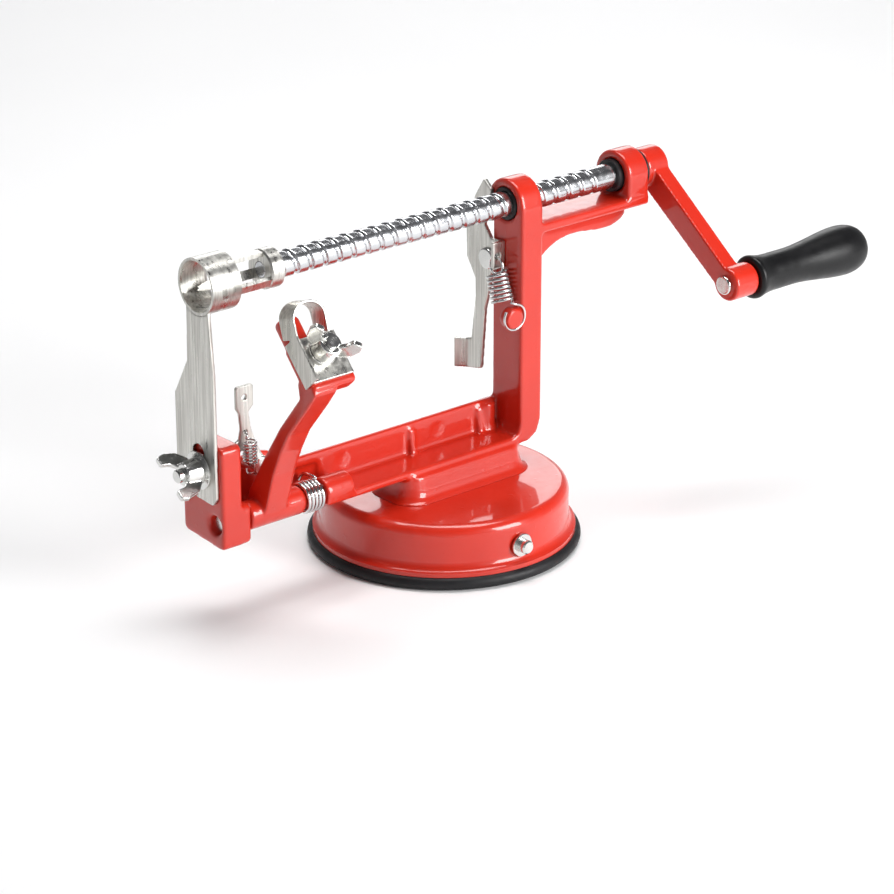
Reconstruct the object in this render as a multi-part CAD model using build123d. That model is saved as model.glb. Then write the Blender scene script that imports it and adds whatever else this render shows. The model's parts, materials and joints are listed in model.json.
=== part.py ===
from build123d import *
import os
from math import cos, radians, sin

# Apple peeler corer. Millimetres. +X runs along the shaft towards the crank,
# -Y is the side of the peeling arm, +Z is up. The origin is the centre of the
# suction base, on the surface it stands on. Heights in the functions below are
# measured from a datum plane DATUM under that surface.
DATUM = 2.7

# Threaded shaft and its drive
SHAFT_Z = 126.5
SHAFT_R = 4.8
THREAD_PITCH = 6.35
THREAD_TURNS = 24
GROOVE_DEPTH = 0.75
SHAFT_LEFT = -77.0
RUN_GAP = 0.05
CATCH_X = 28.0

# Cast frame
FRAME_FRONT = -9.9
FRAME_BACK = 6.6
WEB_FRONT = 4.0
RAIL_BOTTOM = 35.0
FLANGE_T = 3.0
WEB_TOP = 50.0
POST_LEFT = 29.0
POST_RIGHT = 39.4
REAR_LEFT = 82.4
REAR_RIGHT = 92.8
BOSS_R = 9.5
BUSH_R = 6.2
ARM_TOP = 118.8
ARM_FLANGE_T = 3.4
COLLAR = 2.0
BLOCK_LEFT = -109.0
BLOCK_RIGHT = -100.2
BLOCK_FRONT = -10.0
BLOCK_BACK = 13.6
BLOCK_TOP = 68.8

# Suction base
CAP_R = 46.4
CAP_TOP = 26.0
CAP_WALL = 1.4
RIM_R = 49.0
PAD_R = 51.0
PAD_TOP = 7.5
PAD_T = 2.8
AXLE_X = -2.9
AXLE_Z = 15.6
AXLE_R = 2.6
CAM_R = 4.1
CAM_THROW = 2.1

# Peeling arm
ROD_Y = -5.0
ROD_Z = 39.1
ROD_R = 3.0
BARREL_R = 5.25
HEAD = Plane(
    origin=(-82, -32.2, 105.6), x_dir=(1, 0, 0), z_dir=(0, -sin(radians(48)), cos(radians(48)))
)
BLADE_T = 0.9

# Slicer and corer
RING_R = 10.2
RING_WALL = 1.0
STUD_Y = 1.0
STUD_Z = 58.8
SLICER = Plane(origin=(-110.5, STUD_Y, STUD_Z), x_dir=(0, 0.8, 0.6), z_dir=(-1, 0, 0))

# Catch lever
PIVOT_Y = 7.0
PIVOT_Z = 104.1
PEG_X = 24.3
PEG_Z = 86.0
HOOK_X = 25.2
HOOK_Z = 103.5

# Arm latch
LATCH_X = -83.5
LATCH_Z = 53.0
LATCH_SPRING_X = -90.2

# Crank and handle
HUB_LEFT = 94.5
HUB_RIGHT = 105.0
GRIP_Y = -46.5
GRIP_Z = 92.0
GRIP_LEFT = 109.6
GRIP_RIGHT = 168.6
GRIP_AXLE_R = 2.5


def rod_x(radius, x0, x1, y=0.0, z=SHAFT_Z):
    return Pos((x0 + x1) / 2, y, z) * Rot(0, 90, 0) * Cylinder(radius, x1 - x0)


def rod_y(radius, y0, y1, x, z):
    return Pos(x, (y0 + y1) / 2, z) * Rot(90, 0, 0) * Cylinder(radius, y1 - y0)


def rod_z(radius, z0, z1, x=0.0, y=0.0):
    return Pos(x, y, (z0 + z1) / 2) * Cylinder(radius, z1 - z0)


def block(x0, x1, y0, y1, z0, z1):
    centre = Pos((x0 + x1) / 2, (y0 + y1) / 2, (z0 + z1) / 2)
    return centre * Box(x1 - x0, y1 - y0, z1 - z0)


def slab_x(outline, x0, x1, rounding=0.0):
    """A plate from a (y, z) outline, from x0 to x1."""
    face = make_face(Polyline(*outline, close=True))
    if rounding:
        face = fillet(face.vertices(), rounding)
    return extrude(Plane.YZ.offset(x0) * face, amount=x1 - x0)


def slab_y(outline, y0, y1, rounding=0.0):
    """A plate from an (x, z) outline, from y0 to y1."""
    face = make_face(Polyline(*outline, close=True))
    if rounding:
        face = fillet(face.vertices(), rounding)
    return extrude(Plane.XZ.offset(-y1) * face, amount=y1 - y0)


def slot_x(y, z0, z1, radius, x0, x1):
    """A round-ended upright slot through a plate that is square to X."""
    return (
        rod_x(radius, x0, x1, y, z0)
        + rod_x(radius, x0, x1, y, z1)
        + block(x0, x1, y - radius, y + radius, z0, z1)
    )


# ---------------------------------------------------------------- cast frame


def rail():
    web = slab_y(
        [
            (BLOCK_RIGHT - 1, 33),
            (POST_RIGHT - 1, 33.5),
            (POST_RIGHT - 1, WEB_TOP),
            (-64, WEB_TOP),
            (-72, 52),
            (-78, 56.5),
            (-85, 57.5),
            (-92, 56.5),
            (BLOCK_RIGHT - 1, 57),
        ],
        WEB_FRONT,
        FRAME_BACK,
        1.2,
    )
    flange_top = RAIL_BOTTOM + FLANGE_T
    flange = block(-62.6, POST_LEFT + 4, FRAME_FRONT, FRAME_BACK, RAIL_BOTTOM, flange_top)
    back_ledge = block(BLOCK_RIGHT - 1, -60, 1.2, FRAME_BACK, 31, 36)
    spring_pocket = block(-72.5, -56, 0, WEB_FRONT + 1.4, 38.5, 46)
    rod_lug = rod_x(BARREL_R + 0.1, -62.6, -50, ROD_Y, ROD_Z)
    lug_seat = block(-62.6, -50, FRAME_FRONT, WEB_FRONT + 1, RAIL_BOTTOM, RAIL_BOTTOM + 3.6)
    return web + flange + back_ledge - spring_pocket + rod_lug + lug_seat


def ribs():
    rib_x = (-12.6, 20.0)
    shape = [
        (WEB_FRONT + 1, WEB_TOP - 2),
        (WEB_FRONT - 1.2, WEB_TOP - 2.5),
        (WEB_FRONT - 2.6, RAIL_BOTTOM + FLANGE_T - 1),
        (WEB_FRONT + 1, RAIL_BOTTOM + FLANGE_T - 1),
    ]
    return [slab_x(shape, x - 1.3, x + 1.3) for x in rib_x]


def post_and_arm():
    post = slab_y(
        [
            (POST_LEFT, RAIL_BOTTOM + 1),
            (POST_LEFT + 3, RAIL_BOTTOM),
            (POST_RIGHT - 6, RAIL_BOTTOM),
            (POST_RIGHT - 1.8, RAIL_BOTTOM + 2.6),
            (POST_RIGHT, RAIL_BOTTOM + 8),
            (POST_RIGHT, SHAFT_Z),
            (POST_LEFT, SHAFT_Z),
        ],
        FRAME_FRONT,
        FRAME_BACK,
    )
    inner_corner = slab_y(
        [
            (POST_LEFT - 3.5, RAIL_BOTTOM + FLANGE_T),
            (POST_LEFT - 1, RAIL_BOTTOM + FLANGE_T + 1),
            (POST_LEFT, RAIL_BOTTOM + FLANGE_T + 3.5),
            (POST_LEFT + 1, RAIL_BOTTOM + 1),
            (POST_LEFT - 3.5, RAIL_BOTTOM + 1),
        ],
        FRAME_FRONT,
        FRAME_BACK,
    )
    under_arm = ARM_TOP - ARM_FLANGE_T
    arm_flange = block(POST_RIGHT - 1, REAR_RIGHT, FRAME_FRONT, FRAME_BACK, under_arm, ARM_TOP)
    top = ARM_TOP - 3
    tip = REAR_RIGHT + 0.4
    outline = [
        Line((POST_RIGHT - 1, top), (tip, top)),
        Line((tip, top), (tip, 108)),
        Spline((tip, 108), (REAR_RIGHT - 3, 105.7), (68, 105.6), (55, 102.8), (46, 94.5), (POST_RIGHT, 80)),
        Line((POST_RIGHT, 80), (POST_RIGHT - 1, 80)),
        Line((POST_RIGHT - 1, 80), (POST_RIGHT - 1, top)),
    ]
    gusset_front = WEB_FRONT - 0.4
    gusset = extrude(
        Plane.XZ.offset(-FRAME_BACK) * make_face(outline), amount=FRAME_BACK - gusset_front
    )
    post_pocket = block(
        POST_LEFT + 3, POST_RIGHT - 3, WEB_FRONT - 2.5, FRAME_BACK + 1, 54, ARM_TOP - 28
    )
    return post + inner_corner + arm_flange + gusset - post_pocket


def bearing_boss(x0, x1):
    seat = block(x0, x1, -BOSS_R, FRAME_BACK, ARM_TOP - ARM_FLANGE_T, SHAFT_Z)
    return rod_x(BOSS_R, x0, x1) + seat


def front_block():
    body = slab_x(
        [
            (BLOCK_FRONT, 30.3),
            (BLOCK_BACK, 32.2),
            (BLOCK_BACK, BLOCK_TOP),
            (BLOCK_FRONT, BLOCK_TOP),
        ],
        BLOCK_LEFT,
        BLOCK_RIGHT,
        2.0,
    )
    rod_boss = slab_x(
        [(BLOCK_FRONT, 30.3), (2, 31), (2, 45.5), (BLOCK_FRONT, 45.5)],
        BLOCK_RIGHT - 1,
        -96.6,
        2.5,
    )
    return body + rod_boss


def pedestal():
    """The foot under the rail, flared where it meets the cap."""
    skirt = [(0, 4.0), (0.7, 2.2), (2.0, 0.9), (4.5, 0.2), (RAIL_BOTTOM - CAP_TOP + 0.5, -0.6)]
    sections = []
    for height, flare in skirt:
        outline = RectangleRounded(57 + 2 * flare, 21 + 2 * flare, 7 + flare)
        sections.append(Pos(0, 0, CAP_TOP + height) * outline)
    return Pos(1.7, (FRAME_FRONT + FRAME_BACK) / 2, 0) * loft(sections, ruled=True)


SCREW_PLACES = [(x, y) for x in (-19.0, 22.0) for y in (-5.0, 4.0)]


def frame_casting():
    body = rail() + post_and_arm() + front_block() + pedestal()
    body += bearing_boss(POST_LEFT, POST_RIGHT) + bearing_boss(REAR_LEFT, REAR_RIGHT)
    for rib in ribs():
        body += rib
    corner_boss = rod_z(3.6, RAIL_BOTTOM + 1, WEB_TOP - 1, 24.4, WEB_FRONT + 0.8)
    catch_ear = rod_x(6.0, POST_LEFT, POST_LEFT + 5, PIVOT_Y, PIVOT_Z)
    spring_peg = rod_y(4.0, -12.0, -7.0, PEG_X, PEG_Z)
    spring_peg += block(PEG_X, POST_LEFT + 1, -9.4, -6.5, PEG_Z - 3.2, PEG_Z + 3.2)
    latch_peg = rod_y(1.2, -3.4, WEB_FRONT + 1, LATCH_SPRING_X, 54.4)
    body += corner_boss + catch_ear + spring_peg + latch_peg
    for x in (-45.0, 0.0):
        body -= rod_y(2.8, WEB_FRONT - 1, WEB_FRONT + 0.3, x, 44)
    for x0, x1 in ((POST_LEFT, POST_RIGHT), (REAR_LEFT, REAR_RIGHT)):
        body -= rod_x(BUSH_R, x0 - 1, x1 + 1)
    body -= rod_x(ROD_R, BLOCK_LEFT - 1, -51, ROD_Y, ROD_Z)
    body -= rod_x(ROD_R + 0.5, BLOCK_LEFT - 1, BLOCK_LEFT + 2.5, ROD_Y, ROD_Z)
    body -= rod_x(2.4, BLOCK_LEFT - 1, BLOCK_RIGHT + 1, STUD_Y, STUD_Z)
    body -= rod_x(5.2, BLOCK_RIGHT, BLOCK_RIGHT + 3.4, STUD_Y, STUD_Z)
    body -= rod_x(2.0, POST_LEFT - 1, POST_LEFT + 6, PIVOT_Y, PIVOT_Z)
    body -= rod_y(2.0, WEB_FRONT - 1, FRAME_BACK + 1, LATCH_X, LATCH_Z)
    for x, y in SCREW_PLACES:
        body -= rod_z(2.0, CAP_TOP - 1, RAIL_BOTTOM - 1.5, x, y)
    return body


def bush(x0, x1):
    sleeve = rod_x(BUSH_R, x0, x1)
    return chamfer(sleeve.edges(), 0.3) - rod_x(SHAFT_R + RUN_GAP, x0 - 1, x1 + 1)


def pivot_rod():
    rod = rod_x(ROD_R, BLOCK_LEFT + 2.5, -51, ROD_Y, ROD_Z)
    return chamfer(rod.edges(), 0.4)


# -------------------------------------------------------------- suction base


def base_cap():
    shoulder = 4.0
    inner = CAP_R - CAP_WALL
    profile = make_face(
        [
            Line((0, CAP_TOP), (CAP_R - shoulder, CAP_TOP)),
            RadiusArc((CAP_R - shoulder, CAP_TOP), (CAP_R, CAP_TOP - shoulder), shoulder),
            Line((CAP_R, CAP_TOP - shoulder), (CAP_R, PAD_TOP + 4.5)),
            RadiusArc((CAP_R, PAD_TOP + 4.5), (RIM_R, PAD_TOP + 1.6), -3.4),
            Line((RIM_R, PAD_TOP + 1.6), (RIM_R, PAD_TOP)),
            Line((RIM_R, PAD_TOP), (inner, PAD_TOP)),
            Line((inner, PAD_TOP), (inner, CAP_TOP - shoulder)),
            RadiusArc(
                (inner, CAP_TOP - shoulder),
                (CAP_R - shoulder, CAP_TOP - CAP_WALL),
                -(shoulder - CAP_WALL),
            ),
            Line((CAP_R - shoulder, CAP_TOP - CAP_WALL), (0, CAP_TOP - CAP_WALL)),
            Line((0, CAP_TOP - CAP_WALL), (0, CAP_TOP)),
        ]
    )
    cap = revolve(Plane.XZ * profile, axis=Axis.Z)
    cap -= rod_y(AXLE_R + RUN_GAP, -60, 60, AXLE_X, AXLE_Z)
    for x, y in SCREW_PLACES:
        cap -= rod_z(2.0, CAP_TOP - 3, CAP_TOP + 1, x, y)
    return cap


def base_screws():
    head_z = CAP_TOP - CAP_WALL
    screw = Pos(0, 0, head_z - 1.1) * Rot(180, 0, 0) * Cone(3.5, 2.4, 2.2)
    screw += rod_z(2.0, head_z - 0.5, RAIL_BOTTOM - 2)
    screws = Pos(*SCREW_PLACES[0], 0) * screw
    for x, y in SCREW_PLACES[1:]:
        screws += Pos(x, y, 0) * screw
    return screws


def suction_pad():
    profile = make_face(
        [
            Line((0, DATUM), (48.6, DATUM)),
            RadiusArc((48.6, DATUM), (PAD_R, DATUM + 2.4), -2.5),
            RadiusArc((PAD_R, DATUM + 2.4), (48.9, PAD_TOP), -2.5),
            Line((48.9, PAD_TOP), (44.2, PAD_TOP)),
            Line((44.2, PAD_TOP), (43.2, DATUM + PAD_T)),
            Line((43.2, DATUM + PAD_T), (0, DATUM + PAD_T)),
            Line((0, DATUM + PAD_T), (0, DATUM)),
        ]
    )
    return revolve(Plane.XZ * profile, axis=Axis.Z)


def pull_stud():
    cam_z = AXLE_Z - CAM_THROW * sin(radians(45))
    yoke = block(-9.3, 8.3, -4, 4, 8.8, cam_z + CAM_R + 2.5)
    slot = block(-7.4, 6.2, -6, 6, cam_z - CAM_R - 0.15, cam_z + CAM_R + 0.15)
    plate = rod_z(17, DATUM + PAD_T + 0.05, 7.3)
    return yoke - slot + chamfer(plate.edges(), 0.5) + rod_z(5.5, 7, 9)


def cam_axle():
    cam_x = AXLE_X + CAM_THROW * cos(radians(45))
    cam_z = AXLE_Z - CAM_THROW * sin(radians(45))
    axle = chamfer(rod_y(AXLE_R, -50.8, 55.5, AXLE_X, AXLE_Z).edges(), 0.5)
    return axle + rod_y(CAM_R, -4.8, 4.8, cam_x, cam_z)


def axle_washer():
    washer = rod_y(4.4, -47.7, -46.6, AXLE_X, AXLE_Z)
    return chamfer(washer.edges(), 0.25) - rod_y(AXLE_R, -49, -45, AXLE_X, AXLE_Z)


def suction_lever():
    outline = [(-8, 9.9), (26, 7.1), (38, 6.1), (38, 15.6), (26, 16.9), (-8, 20.3)]
    blade = slab_y(outline, 49.2, 53.2, 3.0)
    hub = rod_y(6.6, 49.1, 54.4, AXLE_X, AXLE_Z)
    return blade + hub - rod_y(AXLE_R, 47, 56, AXLE_X, AXLE_Z)


# ---------------------------------------------------------- slicer and corer


def slicer_plate():
    outline = [
        (-8.2, 50),
        (-6.2, 47.4),
        (5.5, 48.2),
        (14.3, 58),
        (14.3, 84),
        (6.5, 98),
        (6.0, 122),
        (-6.0, 122),
        (-8.2, 96),
    ]
    plate = slab_x(outline, -110.5, BLOCK_LEFT - 0.05, 1.2)
    plate -= slot_x(STUD_Y + 0.3, 55.0, 65.2, 3.2, -112, -107)
    return plate - rod_x(RING_R, -112, -107)


def corer_ring():
    ring = rod_x(RING_R, -110.5, -98.5) - rod_x(RING_R - RING_WALL, -112, -97)
    cutter = Pos(-98.5, 0, SHAFT_Z) * Rot(0, 90, 0) * Pos(0, 0, -0.75)
    return ring - cutter * Cone(RING_R - RING_WALL, RING_R - 0.15, 1.5)


def slicer_stud():
    stud = rod_x(2.4, -120.5, BLOCK_RIGHT + 2.4, STUD_Y, STUD_Z)
    nut = rod_x(4.2, BLOCK_RIGHT, BLOCK_RIGHT + 2.4, STUD_Y, STUD_Z)
    return chamfer(stud.edges(), 0.4) + nut


def flat_washer(radius, hole, thickness):
    """A washer standing on the XY plane."""
    ring = Pos(0, 0, thickness / 2) * Cylinder(radius, thickness)
    return chamfer(ring.edges(), 0.2) - Cylinder(hole, 3 * thickness)


def wing_nut(bore):
    """A cast wing nut standing on the XY plane, its wings raised along +Z."""
    hub = Pos(0, 0, 3.1) * Cone(4.9, 4.1, 6.2)
    outline = [(2.5, 0.8), (5.5, 1.2), (8.6, 4.5), (9.8, 9.2), (9.0, 12.2), (5.6, 12.2)]
    outline += [(4.8, 8.6), (2.5, 5.6)]
    face = fillet(make_face(Polyline(*outline, close=True)).vertices(), 0.8)
    wing = extrude(Plane.XZ.offset(-0.95) * face, amount=1.9)
    nut = hub + wing + Rot(0, 0, 180) * wing
    return nut - Cylinder(bore, 40)


# ------------------------------------------------------------------- spindle


def thread_groove():
    """The helical groove. At rest one turn lies at the catch lever's tooth."""
    path = Helix(pitch=THREAD_PITCH, height=THREAD_PITCH * THREAD_TURNS, radius=SHAFT_R)
    half_root = 0.8
    half_mouth = 1.35
    profile = make_face(
        Polyline(
            (-GROOVE_DEPTH, -half_root),
            (0.6, -half_mouth),
            (0.6, half_mouth),
            (-GROOVE_DEPTH, half_root),
            close=True,
        )
    )
    section = Plane(origin=path @ 0, x_dir=(1, 0, 0), z_dir=(0, -1, 0)) * profile
    groove = sweep(section, path=path, is_frenet=True)
    start_x = CATCH_X - 17 * THREAD_PITCH
    return Pos(start_x, 0, SHAFT_Z) * Rot(90, 0, 0) * Rot(0, 90, 0) * groove


def threaded_shaft():
    shaft = rod_x(SHAFT_R, SHAFT_LEFT, HUB_LEFT) - thread_groove()
    shaft += rod_x(3.0, SHAFT_LEFT - 6, SHAFT_LEFT + 1)
    shaft += rod_x(3.6, HUB_LEFT - 1, HUB_RIGHT + 0.6)
    return shaft - crank_pin()


def crank_pin():
    return rod_z(1.3, SHAFT_Z - 7.2, SHAFT_Z + 7.2, (HUB_LEFT + HUB_RIGHT) / 2)


def fork():
    hub = chamfer(rod_x(7.2, SHAFT_LEFT - 6, SHAFT_LEFT).edges(), 0.6)
    tip_x = -106.0
    outline = [(tip_x, -0.5), (tip_x + 5, -1.7), (SHAFT_LEFT - 5, -1.7), (SHAFT_LEFT - 5, 1.7)]
    outline += [(tip_x + 5, 1.7), (tip_x, 0.5)]
    prong = extrude(Plane.XY.offset(5.2) * make_face(Polyline(*outline, close=True)), amount=1.6)
    for turn in (90, 210, 330):
        hub += Pos(0, 0, SHAFT_Z) * Rot(turn - 90, 0, 0) * prong
    return hub - rod_x(3.0, SHAFT_LEFT - 7, SHAFT_LEFT + 1)


def thrust_washer():
    x0 = REAR_RIGHT + 0.5
    washer = rod_x(8.0, x0, x0 + 1.1)
    return chamfer(washer.edges(), 0.2) - rod_x(SHAFT_R + RUN_GAP, x0 - 1, x0 + 2)


def crank_arm():
    reach = Vector(GRIP_Y, GRIP_Z - SHAFT_Z)
    along = reach.normalized()
    across = Vector(-along.Y, along.X)
    hub_centre = Vector(0, SHAFT_Z)
    end_centre = hub_centre + reach
    outline = [
        hub_centre + across * 5.0,
        hub_centre - across * 5.0,
        end_centre - across * 4.4,
        end_centre + across * 4.4,
    ]
    bar = slab_x([(p.X, p.Y) for p in outline], 97.6, 104.6)
    hub = rod_x(7.5, HUB_LEFT, HUB_RIGHT)
    end_boss = rod_x(6.4, 97.6, GRIP_LEFT - 0.4, GRIP_Y, GRIP_Z)
    arm = bar + fillet(hub.edges(), 0.8) + fillet(end_boss.edges(), 0.8)
    arm -= rod_x(3.6, HUB_LEFT - 1, HUB_RIGHT + 1)
    arm -= rod_x(GRIP_AXLE_R, 90, 115, GRIP_Y, GRIP_Z)
    return arm - crank_pin()


def handle_axle():
    head = fillet(rod_x(3.6, 95.9, 97.6, GRIP_Y, GRIP_Z).edges().sort_by(Axis.X)[0], 0.7)
    axle = rod_x(GRIP_AXLE_R, 97, 160, GRIP_Y, GRIP_Z)
    snap_groove = rod_x(4, 148, 151, GRIP_Y, GRIP_Z) - rod_x(1.95, 147, 152, GRIP_Y, GRIP_Z)
    return head + axle - snap_groove


def handle_grip():
    stations = [(0, 7.0), (0.8, 8.1), (3.5, 7.9), (13, 7.1), (22, 7.1), (34, 8.2), (46, 9.5)]
    stations += [(53, 9.1), (57, 7.3), (58.8, 4.4)]
    last = (GRIP_RIGHT - GRIP_LEFT, 0)
    top = [Line((0, 0), stations[0]), Spline(*stations)]
    top += [Line(stations[-1], last), Line(last, (0, 0))]
    body = revolve(make_face(top), axis=Axis.X)
    body = Pos(GRIP_LEFT, GRIP_Y, GRIP_Z) * body
    bore = rod_x(GRIP_AXLE_R + RUN_GAP, GRIP_LEFT - 1, 161, GRIP_Y, GRIP_Z)
    bead = rod_x(4, 148.4, 150.6, GRIP_Y, GRIP_Z) - rod_x(2.05, 147, 152, GRIP_Y, GRIP_Z)
    return body - bore + bead


# --------------------------------------------------------------------- catch


def catch_lever():
    x0 = CATCH_X - 0.8
    x1 = CATCH_X + 0.8
    plate = slab_x(
        [
            (9.7, 134.2),
            (14.6, 126.5),
            (17.2, 119),
            (19.3, 112.5),
            (19.1, 102),
            (14.2, 94.4),
            (14.1, 87.5),
            (16.4, 70),
            (19.1, 69.6),
            (19.1, 57.6),
            (10.9, 59.4),
            (8.8, 83.6),
            (7.2, 89.0),
            (5.6, 98),
            (3.4, 100.4),
            (-0.7, 102.4),
            (-0.7, 112.9),
            (5.6, 112.0),
            (9.2, 116.6),
            (9.2, 119.5),
            (6.2, 122.5),
            (5.6, 130.8),
        ],
        x0,
        x1,
        0.7,
    )
    tooth = block(CATCH_X - 0.4, CATCH_X + 0.4, 4.2, 7.5, SHAFT_Z - 0.8, SHAFT_Z + 0.8)
    ear = block(x0 - 4.1, x0 + 0.4, -0.7, 0.8, 102.9, 112.6)
    ear -= rod_y(1.3, -2, 2, HOOK_X, HOOK_Z + 3.7)
    tab_end = CATCH_X - 3.6
    flap = [(x1, 18.8), (x0 - 0.2, 18.4), (tab_end - 0.6, 22.2), (tab_end + 0.6, 23.3)]
    tab = extrude(Plane.XY.offset(57.9) * make_face(Polyline(*flap, close=True)), amount=11.5)
    pivot_hole = rod_x(2.0 + RUN_GAP, x0 - 1, x1 + 1, PIVOT_Y, PIVOT_Z)
    return plate + tooth + ear + tab - pivot_hole


def catch_rivet():
    x0 = CATCH_X - 0.85
    head = fillet(rod_x(4.1, x0 - 1.4, x0, PIVOT_Y, PIVOT_Z).edges().sort_by(Axis.X)[0], 0.8)
    return head + rod_x(2.0, x0 - 0.5, POST_LEFT + 5.8, PIVOT_Y, PIVOT_Z)


def spring_sleeve(bottom, top, coil_r, wire_r):
    """The closed outer shape of a spring's turns between two points."""
    axis = top - bottom
    seat = Plane(origin=bottom, z_dir=axis.normalized())
    tube = Cylinder(coil_r + wire_r, axis.length) - Cylinder(coil_r - wire_r, axis.length * 2)
    return seat * Pos(0, 0, axis.length / 2) * tube


def catch_spring():
    low = Vector(24.4, -5.0, 90.5)
    high = Vector(24.2, -1.7, 101.4)
    low_hook = Pos(PEG_X + 0.9, -10.4, PEG_Z + 0.3) * Rot(90, 0, 0) * Torus(5.3, 0.4)
    low_hook += rod_y(0.4, -10.4, -8.7, PEG_X + 0.9, PEG_Z + 5.8)
    high_hook = Pos(HOOK_X, 0, HOOK_Z) * Rot(0, 90, 0) * Torus(3.7, 0.4)
    return spring_sleeve(low, high, 4.1, 0.4) + low_hook + high_hook


# --------------------------------------------------------------- peeling arm


def peeler_arm():
    barrel = chamfer(rod_x(BARREL_R, -96.3, -72.3, ROD_Y, ROD_Z).edges(), 0.5)
    neck = rod_x(4.3, -73, -63, ROD_Y, ROD_Z)
    shank = slab_x(
        [
            (0.2, 40),
            (-0.6, 46),
            (-9.3, 60.2),
            (-19.4, 75.4),
            (-31.0, 89.8),
            (-30.0, 95.5),
            (-36.6, 98.5),
            (-40.0, 93.5),
            (-35.2, 87),
            (-24.5, 74),
            (-20.0, 66),
            (-15.4, 56),
            (-10.2, 39.5),
        ],
        -91,
        -81,
        1.0,
    )
    slab = HEAD * Pos(0.5, -3.6, -4.6) * Box(19, 18.8, 6.9)
    slab = fillet(slab.edges(), 1.6)
    lobe = HEAD * Pos(-4.75, 9.4, -4.4) * Box(8.5, 12.4, 5.6)
    lobe = fillet(lobe.edges(), 1.8)
    arm = barrel + neck + shank + slab + lobe
    arm -= rod_x(ROD_R + RUN_GAP, -100, -60, ROD_Y, ROD_Z)
    return arm - HEAD * Pos(0, -0.4, 0) * Cylinder(2.4, 40)


def peeler_blade():
    plate = HEAD * Pos(-0.6, -2.1, -0.55) * Box(19, 16.6, 1.1)
    left_leg = HEAD * Pos(-9.65, -2.2, 0.2) * Box(BLADE_T, 16.8, 8.8)
    lean = HEAD * Pos(-2.95, 6.4, 0.2) * Rot(24, 0, 0)
    half_span = 7.15
    height = 6.0
    straight = 6.4
    outer = Pos(0, straight / 2) * Rectangle(2 * half_span, straight)
    outer += Pos(0, straight) * Ellipse(half_span, height)
    inner = Pos(0, straight / 2 - 2) * Rectangle(2 * (half_span - BLADE_T), straight + 4)
    inner += Pos(0, straight) * Ellipse(half_span - BLADE_T, height - BLADE_T)
    loop = lean * Pos(0, 0, -4.2) * extrude(outer - inner, amount=8.4)
    blade = plate + left_leg + loop
    return blade - HEAD * Pos(0, -0.4, 0) * Cylinder(2.6, 40)


def blade_bolt():
    shank = HEAD * Pos(0, -0.4, -0.2) * Cylinder(2.4, 18)
    hex_head = HEAD * Pos(0, -0.4, -11.15) * extrude(RegularPolygon(4.6, 6), amount=3.0)
    return shank + hex_head


def arm_spring():
    bottom = Vector(-71.9, ROD_Y, ROD_Z)
    top = Vector(-63.2, ROD_Y, ROD_Z)
    return spring_sleeve(bottom, top, 5.45, 0.65)


# ----------------------------------------------------------------- arm latch


def arm_latch():
    lever = slab_y(
        [
            (-92.8, 84.4),
            (-85.4, 84.4),
            (-85.4, 76.4),
            (-87.6, 74.2),
            (-86.6, 68),
            (-84.8, 62.6),
            (-82.4, 57.6),
            (-80.0, 54.6),
            (-80.4, 50.8),
            (-83.6, 49.2),
            (-86.8, 51.2),
            (-87.0, 56.6),
            (-89.4, 60.2),
            (-94.4, 59.6),
            (-94.4, 63.2),
            (-91.8, 64.2),
            (-91.0, 68),
            (-91.6, 74),
            (-92.8, 76),
        ],
        2.4,
        3.8,
        0.9,
    )
    finger_hole = rod_y(1.1, 0, 6, -89.4, 80)
    spring_hole = rod_y(0.8, 0, 6, -89.2, 67.0)
    return lever - finger_hole - spring_hole - rod_y(2.0 + RUN_GAP, 0, 6, LATCH_X, LATCH_Z)


def latch_screw():
    head = fillet(rod_y(3.8, 0.1, 2.3, LATCH_X, LATCH_Z).edges().sort_by(Axis.Y)[0], 0.8)
    return head + rod_y(2.0, 2, FRAME_BACK + 1.5, LATCH_X, LATCH_Z)


def latch_spring():
    low = Vector(LATCH_SPRING_X, -1.4, 56.6)
    high = Vector(LATCH_SPRING_X, -1.4, 65.2)
    return spring_sleeve(low, high, 2.3, 0.45)


# --------------------------------------------------------------------- parts

PARTS = {
    "frame_casting": frame_casting(),
    "front_bush": bush(POST_LEFT, POST_RIGHT + 0.4),
    "rear_bush": bush(REAR_LEFT - COLLAR, REAR_RIGHT + 0.4),
    "pivot_rod": pivot_rod(),
    "base_cap": base_cap(),
    "base_screws": base_screws(),
    "suction_pad": suction_pad(),
    "pull_stud": pull_stud(),
    "cam_axle": cam_axle(),
    "axle_washer": axle_washer(),
    "suction_lever": suction_lever(),
    "slicer_plate": slicer_plate(),
    "corer_ring": corer_ring(),
    "slicer_stud": slicer_stud(),
    "slicer_washer": SLICER * flat_washer(7.0, 2.4, 1.0),
    "slicer_wing_nut": SLICER * Pos(0, 0, 1.02) * wing_nut(2.4),
    "threaded_shaft": threaded_shaft(),
    "fork": fork(),
    "thrust_washer": thrust_washer(),
    "crank_arm": crank_arm(),
    "crank_pin": crank_pin(),
    "handle_axle": handle_axle(),
    "handle_grip": handle_grip(),
    "catch_lever": catch_lever(),
    "catch_rivet": catch_rivet(),
    "catch_spring": catch_spring(),
    "peeler_arm": peeler_arm(),
    "peeler_blade": peeler_blade(),
    "blade_bolt": blade_bolt(),
    "blade_washer": HEAD * Pos(0, -0.4, 0) * flat_washer(5.2, 2.4, 1.0),
    "blade_wing_nut": HEAD * Pos(0, -0.4, 1.02) * Rot(0, 0, -40) * wing_nut(2.4),
    "arm_spring": arm_spring(),
    "arm_latch": arm_latch(),
    "latch_screw": latch_screw(),
    "latch_spring": latch_spring(),
}

os.makedirs("parts", exist_ok=True)
for name, shape in PARTS.items():
    export_step(Pos(0, 0, -DATUM) * shape, f"parts/{name}.step")
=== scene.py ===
import json
from math import cos, pi, radians, sin

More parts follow.
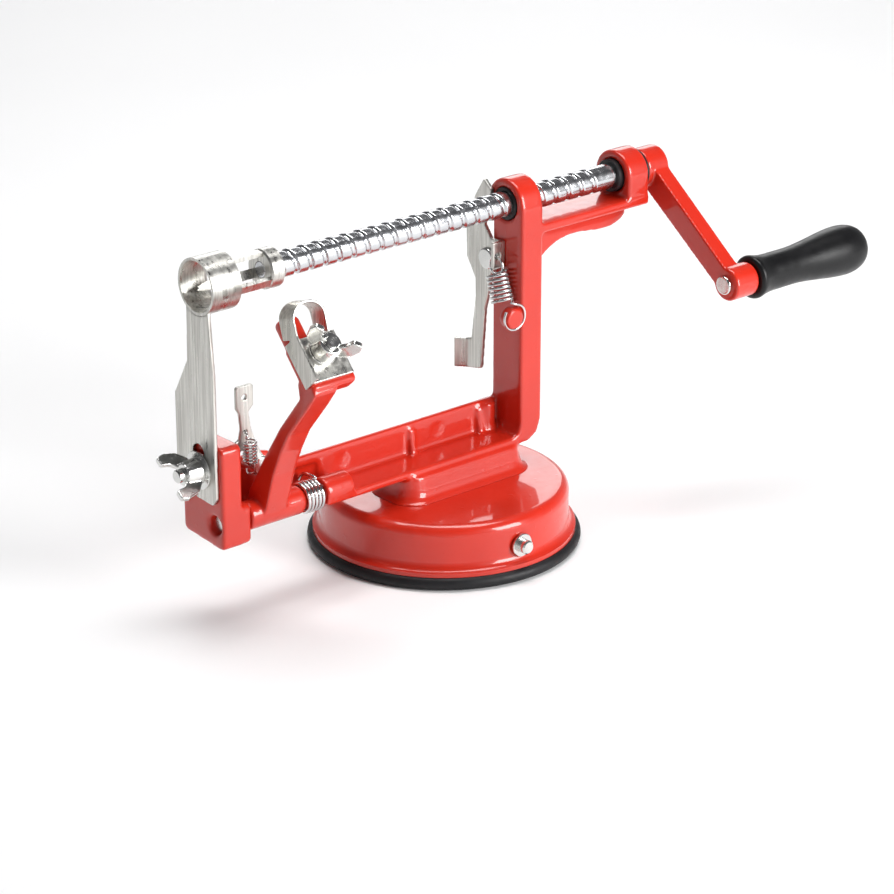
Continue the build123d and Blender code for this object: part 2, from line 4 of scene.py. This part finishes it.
import bpy
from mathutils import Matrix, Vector


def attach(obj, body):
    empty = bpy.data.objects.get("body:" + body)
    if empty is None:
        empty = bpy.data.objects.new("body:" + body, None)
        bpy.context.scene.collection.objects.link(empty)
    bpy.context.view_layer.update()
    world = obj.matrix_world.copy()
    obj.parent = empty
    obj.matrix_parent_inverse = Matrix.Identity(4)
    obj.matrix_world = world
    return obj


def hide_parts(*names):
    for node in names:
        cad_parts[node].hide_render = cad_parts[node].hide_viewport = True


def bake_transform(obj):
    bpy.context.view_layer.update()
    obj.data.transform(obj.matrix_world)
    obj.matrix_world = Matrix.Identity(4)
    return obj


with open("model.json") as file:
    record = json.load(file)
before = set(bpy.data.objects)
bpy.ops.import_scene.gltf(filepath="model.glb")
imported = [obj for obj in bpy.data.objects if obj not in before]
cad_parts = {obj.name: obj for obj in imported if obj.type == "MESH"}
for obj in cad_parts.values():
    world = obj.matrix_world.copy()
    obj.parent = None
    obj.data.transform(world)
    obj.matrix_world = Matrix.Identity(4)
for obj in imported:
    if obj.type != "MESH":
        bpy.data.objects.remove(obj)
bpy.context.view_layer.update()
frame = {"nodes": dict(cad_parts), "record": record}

NODES = frame["nodes"]
BODIES = frame["record"]["behaviour"]["bodies"]
MM = 0.001

RIGHT = (1, 0, 0)
UP = (0, 0, 1)
BACK = (0, 1, 0)
FRONT = (0, -1, 0)


# ------------------------------------------------------------------- camera

# The camera looks at AIM from DISTANCE away, both in metres. The azimuth is 0 in front of the
# tool, and negative towards its left end.
AIM = Vector((0.0092, 0.0091, 0.0303))
DISTANCE = 1.248
AZIMUTH = radians(-40.3)
ELEVATION = radians(22.36)
FOCAL_LENGTH_MM = 134.5
SENSOR_WIDTH_MM = 36.0


def add_camera():
    data = bpy.data.cameras.new("camera")
    data.lens = FOCAL_LENGTH_MM
    data.sensor_width = SENSOR_WIDTH_MM
    camera = bpy.data.objects.new("camera", data)
    towards_camera = Vector(
        (sin(AZIMUTH) * cos(ELEVATION), -cos(AZIMUTH) * cos(ELEVATION), sin(ELEVATION))
    )
    camera.location = AIM + DISTANCE * towards_camera
    camera.rotation_euler = (pi / 2 - ELEVATION, 0, AZIMUTH)
    bpy.context.collection.objects.link(camera)
    bpy.context.scene.camera = camera


# ---------------------------------------------------------------- materials

# The range that holds most values of a noise.
NOISE_RANGE = (0.3, 0.7)


def new_material(name, colour, metallic, roughness):
    material = bpy.data.materials.new(name)
    material.use_nodes = True
    shader = material.node_tree.nodes["Principled BSDF"]
    shader.inputs["Base Color"].default_value = (*colour, 1)
    shader.inputs["Metallic"].default_value = metallic
    shader.inputs["Roughness"].default_value = roughness
    return material, material.node_tree, shader


def noise(tree, scale, detail, stretch=(1, 1, 1)):
    """Noise over the piece's own coordinates, which are metres."""
    place = tree.nodes.new("ShaderNodeTexCoord")
    mapping = tree.nodes.new("ShaderNodeMapping")
    mapping.inputs["Scale"].default_value = stretch
    texture = tree.nodes.new("ShaderNodeTexNoise")
    texture.inputs["Scale"].default_value = scale
    texture.inputs["Detail"].default_value = detail
    tree.links.new(place.outputs["Object"], mapping.inputs["Vector"])
    tree.links.new(mapping.outputs["Vector"], texture.inputs["Vector"])
    return texture.outputs["Fac"]


def spread(tree, value, source, target):
    """Stretches the values in the source range over the target range."""
    node = tree.nodes.new("ShaderNodeMapRange")
    node.inputs["From Min"].default_value = source[0]
    node.inputs["From Max"].default_value = source[1]
    node.inputs["To Min"].default_value = target[0]
    node.inputs["To Max"].default_value = target[1]
    tree.links.new(value, node.inputs["Value"])
    return node.outputs["Result"]


def two_colours(tree, value, source, first, last):
    """Goes from the first colour to the last one over the source range."""
    node = tree.nodes.new("ShaderNodeValToRGB")
    for element, place, colour in zip(node.color_ramp.elements, source, (first, last)):
        element.position = place
        element.color = (*colour, 1)
    tree.links.new(value, node.inputs["Fac"])
    return node.outputs["Color"]


def vary_colour(tree, shader, value, source, dark, light):
    colour = two_colours(tree, value, source, dark, light)
    tree.links.new(colour, shader.inputs["Base Color"])


def vary_roughness(tree, shader, value, low, high):
    roughness = spread(tree, value, NOISE_RANGE, (low, high))
    tree.links.new(roughness, shader.inputs["Roughness"])


def bump(tree, shader, heights):
    """Adds bumps from (height socket, distance in millimetres, strength), one after the other."""
    last = None
    for height, distance, strength in heights:
        node = tree.nodes.new("ShaderNodeBump")
        node.inputs["Distance"].default_value = distance * MM
        node.inputs["Strength"].default_value = strength
        tree.links.new(height, node.inputs["Height"])
        if last:
            tree.links.new(last, node.inputs["Normal"])
        last = node.outputs["Normal"]
    tree.links.new(last, shader.inputs["Normal"])


def red_enamel():
    """Thick glossy paint over cast metal, slightly wavy, with a few pits."""
    base = (0.56, 0.021, 0.008)
    dark = (0.53, 0.019, 0.007)
    light = (0.59, 0.024, 0.009)
    material, tree, shader = new_material("red_enamel", base, 0.0, 0.34)
    vary_colour(tree, shader, noise(tree, 38, 3), NOISE_RANGE, dark, light)
    vary_roughness(tree, shader, noise(tree, 260, 3), 0.3, 0.4)
    shader.inputs["Specular IOR Level"].default_value = 0.25
    shader.inputs["Coat Weight"].default_value = 0.8
    shader.inputs["Coat Roughness"].default_value = 0.05
    pits = spread(tree, noise(tree, 420, 1), (0.68, 0.78), (0, 1))
    waves = noise(tree, 60, 1)
    grain = noise(tree, 700, 2)
    bump(tree, shader, [(waves, 1.0, 0.05), (grain, 0.1, 0.05), (pits, 0.3, 0.25)])
    return material


def chrome(name, colour, rough_low, rough_high):
    """Plated or polished metal, with faint dents and slightly darker patches."""
    darker = 0.86
    material, tree, shader = new_material(name, colour, 1.0, rough_low)
    dark = tuple(darker * c for c in colour)
    vary_colour(tree, shader, noise(tree, 120, 3), (0.35, 0.65), dark, colour)
    vary_roughness(tree, shader, noise(tree, 500, 3), rough_low, rough_high)
    dents = noise(tree, 260, 2)
    grain = noise(tree, 1500, 2)
    bump(tree, shader, [(dents, 0.3, 0.12), (grain, 0.1, 0.06)])
    return material


def satin_steel():
    """Sheet metal with streaks along its height."""
    base = (0.6, 0.59, 0.55)
    dark = (0.46, 0.45, 0.42)
    light = (0.72, 0.71, 0.67)
    material, tree, shader = new_material("satin_steel", base, 1.0, 0.3)
    streaks = noise(tree, 260, 3, (5.0, 5.0, 0.16))
    vary_colour(tree, shader, streaks, NOISE_RANGE, dark, light)
    vary_roughness(tree, shader, noise(tree, 180, 3, (3.0, 3.0, 0.3)), 0.22, 0.42)
    grain = noise(tree, 900, 2)
    bump(tree, shader, [(streaks, 0.2, 0.16), (grain, 0.1, 0.08)])
    return material


def moulded_black(name, colour, rough_low, rough_high, grain_scale):
    """Moulded rubber or plastic, slightly wavy, with a fine grain."""
    lighter = 1.6
    material, tree, shader = new_material(name, colour, 0.0, rough_low)
    light = tuple(lighter * c for c in colour)
    shader.inputs["Specular IOR Level"].default_value = 0.32
    vary_colour(tree, shader, noise(tree, 70, 4), (0.4, 0.7), colour, light)
    vary_roughness(tree, shader, noise(tree, 240, 3), rough_low, rough_high)
    waves = noise(tree, 140, 2)
    grain = noise(tree, grain_scale, 2)
    bump(tree, shader, [(waves, 0.6, 0.12), (grain, 0.2, 0.22)])
    return material


def pale_floor():
    base = (0.93, 0.93, 0.93)
    dark = (0.91, 0.91, 0.91)
    light = (0.94, 0.94, 0.94)
    material, tree, shader = new_material("pale_floor", base, 0.0, 0.6)
    vary_colour(tree, shader, noise(tree, 3, 2), NOISE_RANGE, dark, light)
    return material


MATERIALS = {
    "enamel_red": red_enamel(),
    "chrome_shaft": chrome("shaft_chrome", (0.66, 0.67, 0.69), 0.16, 0.28),
    "satin_steel": satin_steel(),
    "bright_zinc": chrome("bright_zinc", (0.76, 0.76, 0.74), 0.12, 0.28),
    "spring_steel": chrome("spring_steel", (0.74, 0.74, 0.74), 0.1, 0.2),
    "black_rubber": moulded_black("black_rubber", (0.006, 0.006, 0.007), 0.42, 0.6, 1600),
    "black_nylon": moulded_black("black_nylon", (0.012, 0.012, 0.013), 0.3, 0.45, 1200),
    "black_handle": moulded_black("black_handle", (0.004, 0.004, 0.0045), 0.3, 0.42, 1400),
}


def slot_of(node):
    """The record's slot of a CAD node that isn't painted yet."""
    return node.material_slots[0].material.name.split(".")[0]


SLOTS = {name: slot_of(node) for name, node in NODES.items()}
BODY_OF = {node: body for body, nodes in BODIES.items() for node in nodes}


def paint_nodes():
    """Gives every CAD node the finished material of its slot."""
    for name, node in NODES.items():
        for place in node.material_slots:
            place.material = MATERIALS[SLOTS[name]]


# ------------------------------------------------------------ rounded pieces

# CAD node, the piece that stands for it, voxel size in millimetres, smoothing passes.
ROUNDED = [
    ("frame_casting", "cast_frame", 0.6, 16),
    ("peeler_arm", "cast_arm", 0.4, 14),
    ("crank_arm", "cast_crank", 0.4, 12),
    ("slicer_plate", "pressed_slicer", 0.3, 3),
    ("catch_lever", "pressed_catch", 0.3, 4),
    ("arm_latch", "pressed_latch", 0.3, 3),
    ("peeler_blade", "bent_blade", 0.22, 3),
    ("slicer_wing_nut", "cast_wing_nut", 0.22, 6),
    ("blade_wing_nut", "blade_nut", 0.22, 6),
    ("threaded_shaft", "rolled_shaft", 0.32, 2),
]


def new_piece(name, mesh, node):
    """A piece with the material of one CAD node."""
    piece = bpy.data.objects.new(name, mesh)
    bpy.context.collection.objects.link(piece)
    mesh.materials.clear()
    mesh.materials.append(MATERIALS[SLOTS[node]])
    return piece


def apply_modifiers(piece):
    graph = bpy.context.evaluated_depsgraph_get()
    mesh = bpy.data.meshes.new_from_object(piece.evaluated_get(graph))
    piece.modifiers.clear()
    piece.data = mesh
    mesh.shade_smooth()


def soften(node, name, voxel, passes):
    """The CAD node with its edges rounded, as a casting or pressing has them."""
    piece = new_piece(name, NODES[node].data.copy(), node)
    remesh = piece.modifiers.new("remesh", "REMESH")
    remesh.mode = "VOXEL"
    remesh.voxel_size = voxel * MM
    smooth = piece.modifiers.new("smooth", "SMOOTH")
    smooth.factor = 0.5
    smooth.iterations = passes
    apply_modifiers(piece)
    piece.data.materials.clear()
    piece.data.materials.append(MATERIALS[SLOTS[node]])
    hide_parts(node)
    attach(piece, BODY_OF[node])


# ------------------------------------------------------------------- springs

# Every place and radius of a spring is in millimetres.
POINTS_PER_TURN = 16
POINTS_PER_ARC = 15


def path(*points):
    return [Vector(point) for point in points]


def turns(start, end, radius, count, side):
    """Points of a coil about the line from start to end, from the side given."""
    start = Vector(start)
    end = Vector(end)
    axis = (end - start).normalized()
    first = Vector(side)
    first = (first - axis * axis.dot(first)).normalized()
    second = axis.cross(first)
    steps = round(count * POINTS_PER_TURN)
    points = []
    for i in range(steps + 1):
        angle = 2 * pi * count * i / steps
        middle = start.lerp(end, i / steps)
        points.append(middle + radius * (cos(angle) * first + sin(angle) * second))
    return points


def arc(middle, u, v, radius, start, end):
    """Points of an arc in the plane of u and v, from one angle to another in degrees."""
    middle = Vector(middle)
    steps = POINTS_PER_ARC - 1
    points = []
    for i in range(steps + 1):
        angle = radians(start + (end - start) * i / steps)
        points.append(middle + radius * (cos(angle) * Vector(u) + sin(angle) * Vector(v)))
    return points


def wire(name, node, points, radius):
    """A round wire along the points, in place of the CAD's closed tube."""
    curve = bpy.data.curves.new(name, "CURVE")
    curve.dimensions = "3D"
    curve.bevel_depth = radius * MM
    curve.bevel_resolution = 4
    curve.use_fill_caps = True
    curve.resolution_u = 3
    spline = curve.splines.new("NURBS")
    spline.points.add(len(points) - 1)
    for place, point in zip(spline.points, points):
        place.co = (*(point * MM), 1)
    spline.order_u = 4
    spline.use_endpoint_u = True
    drawn = bpy.data.objects.new(name + "_line", curve)
    bpy.context.collection.objects.link(drawn)
    graph = bpy.context.evaluated_depsgraph_get()
    graph.update()
    mesh = bpy.data.meshes.new_from_object(drawn.evaluated_get(graph))
    bpy.data.objects.remove(drawn)
    mesh.shade_smooth()
    piece = new_piece(name, mesh, node)
    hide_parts(node)
    return piece


def catch_spring():
    """The pull spring from the peg on the post to the catch lever's ear."""
    peg = (25.2, -10.4, 83.6)
    ear = (25.2, 0, 100.8)
    low = (24.4, -5.0, 87.8)
    high = (24.2, -1.7, 98.7)
    ring_radius = 5.0
    coil_radius = 4.2
    hook_radius = 3.7
    wire_radius = 0.5
    ring = arc(peg, RIGHT, UP, ring_radius, -215, 95)
    coil = turns(low, high, coil_radius, 7.25, FRONT)
    hook = arc(ear, BACK, UP, hook_radius, -80, 235)
    piece = wire("catch_spring_wire", "catch_spring", ring + coil + hook, wire_radius)
    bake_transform(piece)


def arm_spring():
    """The torsion spring that presses the peeling arm towards the apple."""
    left = (-71.7, -5, 36.4)
    right = (-63.5, -5, 36.4)
    coil_radius = 5.45
    wire_radius = 0.65
    arm_leg = path((-84, 1.1, 37.2), (-80, 1.1, 37.0), (-75, 1.1, 36.6), (-73, 0.9, 36.4))
    coil = turns(left, right, coil_radius, 5.25, BACK)
    frame_leg = path(
        (-63.5, -2, 41.9), (-63.6, 1, 41.9), (-64.0, 3.6, 41.5), (-64.5, 4.4, 38.8)
    )
    piece = wire("arm_spring_wire", "arm_spring", arm_leg + coil + frame_leg, wire_radius)
    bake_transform(piece)


def latch_spring():
    """The pull spring between the peg on the rail and the arm latch."""
    peg = (-90.2, -1.4, 51.7)
    low = (-90.2, -1.4, 54.1)
    high = (-90.2, -1.4, 62.3)
    ring_radius = 1.75
    coil_radius = 2.3
    wire_radius = 0.45
    ring = arc(peg, RIGHT, UP, ring_radius, -200, 85)
    coil = turns(low, high, coil_radius, 6.5, FRONT)
    hook = path((-89.8, 0.6, 63.4), (-89.2, 1.8, 64.6), (-89.2, 3.6, 64.5))
    piece = wire("latch_spring_wire", "latch_spring", ring + coil + hook, wire_radius)
    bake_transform(piece)


# -------------------------------------------------------------------- studio

# Name, place and size in metres, power in watts.
LIGHTS = [
    ("key", (0.5, -1.4, 0.55), (0.7, 0.8), 27),
    ("top", (0.15, 0.1, 1.3), (1.0, 0.5), 13),
    ("back", (0.9, 1.06, 0.6), (0.9, 0.5), 4),
]
FLOOR_REACH = 5.0


def area_light(name, place, size, watts):
    """A soft light that faces the camera's aim and isn't seen itself."""
    data = bpy.data.lights.new(name, "AREA")
    data.shape = "RECTANGLE"
    data.size, data.size_y = size
    data.energy = watts
    light = bpy.data.objects.new(name, data)
    light.location = place
    light.rotation_euler = (AIM - Vector(place)).to_track_quat("-Z", "Y").to_euler()
    light.visible_camera = False
    bpy.context.collection.objects.link(light)


def add_world():
    """A sky that is pale at the horizon and darker overhead."""
    horizon = (0.9, 0.9, 0.91)
    overhead = (0.16, 0.16, 0.17)
    world = bpy.data.worlds.new("studio")
    world.use_nodes = True
    tree = world.node_tree
    place = tree.nodes.new("ShaderNodeTexCoord")
    split = tree.nodes.new("ShaderNodeSeparateXYZ")
    tree.links.new(place.outputs["Generated"], split.inputs["Vector"])
    sky = two_colours(tree, split.outputs["Z"], (0.0, 0.6), horizon, overhead)
    tree.links.new(sky, tree.nodes["Background"].inputs["Color"])
    tree.nodes["Background"].inputs["Strength"].default_value = 0.55
    bpy.context.scene.world = world


def add_floor():
    mesh = bpy.data.meshes.new("floor")
    corners = [
        (-FLOOR_REACH, -FLOOR_REACH, 0),
        (FLOOR_REACH, -FLOOR_REACH, 0),
        (FLOOR_REACH, FLOOR_REACH, 0),
        (-FLOOR_REACH, FLOOR_REACH, 0),
    ]
    mesh.from_pydata(corners, [], [(0, 1, 2, 3)])
    mesh.materials.append(pale_floor())
    floor = bpy.data.objects.new("floor", mesh)
    bpy.context.collection.objects.link(floor)


# --------------------------------------------------------------------- scene

add_camera()
paint_nodes()
for node, name, voxel, passes in ROUNDED:
    soften(node, name, voxel, passes)
catch_spring()
arm_spring()
latch_spring()
add_world()
for name, place, size, watts in LIGHTS:
    area_light(name, place, size, watts)
add_floor()
bpy.context.scene.view_settings.view_transform = "Standard"
